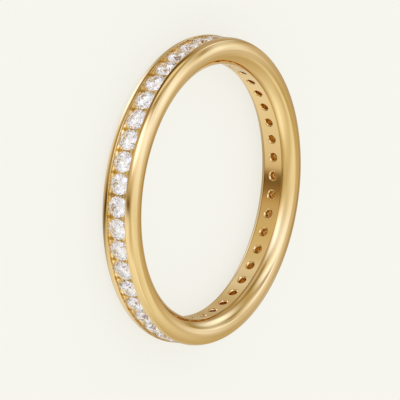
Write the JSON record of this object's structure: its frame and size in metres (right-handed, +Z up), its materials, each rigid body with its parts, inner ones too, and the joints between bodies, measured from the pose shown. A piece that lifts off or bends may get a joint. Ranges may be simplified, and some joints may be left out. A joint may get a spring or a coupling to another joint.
{
  "type": "channel set band",
  "caption": "Eternity ring: a rounded gold band with a full row of round brilliant stones held in a channel between two rails, open behind each stone.",
  "frame": {"origin": "centre of the underside of the band as it lies flat, on the axis of the finger hole", "axes": "+Z up along the axis of the finger hole, +X through the middle of stone_01, the stones counted towards +Y"},
  "size_m": [0.021, 0.021, 0.0028],
  "materials": {
    "gold": "polished yellow gold",
    "diamond": "clear, faceted and polished"
  },
  "bodies": {
    "root": {"band": "gold", "stone_01": "diamond", "stone_02": "diamond", "stone_03": "diamond", "stone_04": "diamond", "stone_05": "diamond", "stone_06": "diamond", "stone_07": "diamond", "stone_08": "diamond", "stone_09": "diamond", "stone_10": "diamond", "stone_11": "diamond", "stone_12": "diamond", "stone_13": "diamond", "stone_14": "diamond", "stone_15": "diamond", "stone_16": "diamond", "stone_17": "diamond", "stone_18": "diamond", "stone_19": "diamond", "stone_20": "diamond", "stone_21": "diamond", "stone_22": "diamond", "stone_23": "diamond", "stone_24": "diamond", "stone_25": "diamond", "stone_26": "diamond", "stone_27": "diamond", "stone_28": "diamond", "stone_29": "diamond", "stone_30": "diamond", "stone_31": "diamond", "stone_32": "diamond", "stone_33": "diamond", "stone_34": "diamond", "stone_35": "diamond", "stone_36": "diamond", "stone_37": "diamond", "stone_38": "diamond", "stone_39": "diamond", "stone_40": "diamond", "stone_41": "diamond", "stone_42": "diamond"}
  },
  "joints": []
}
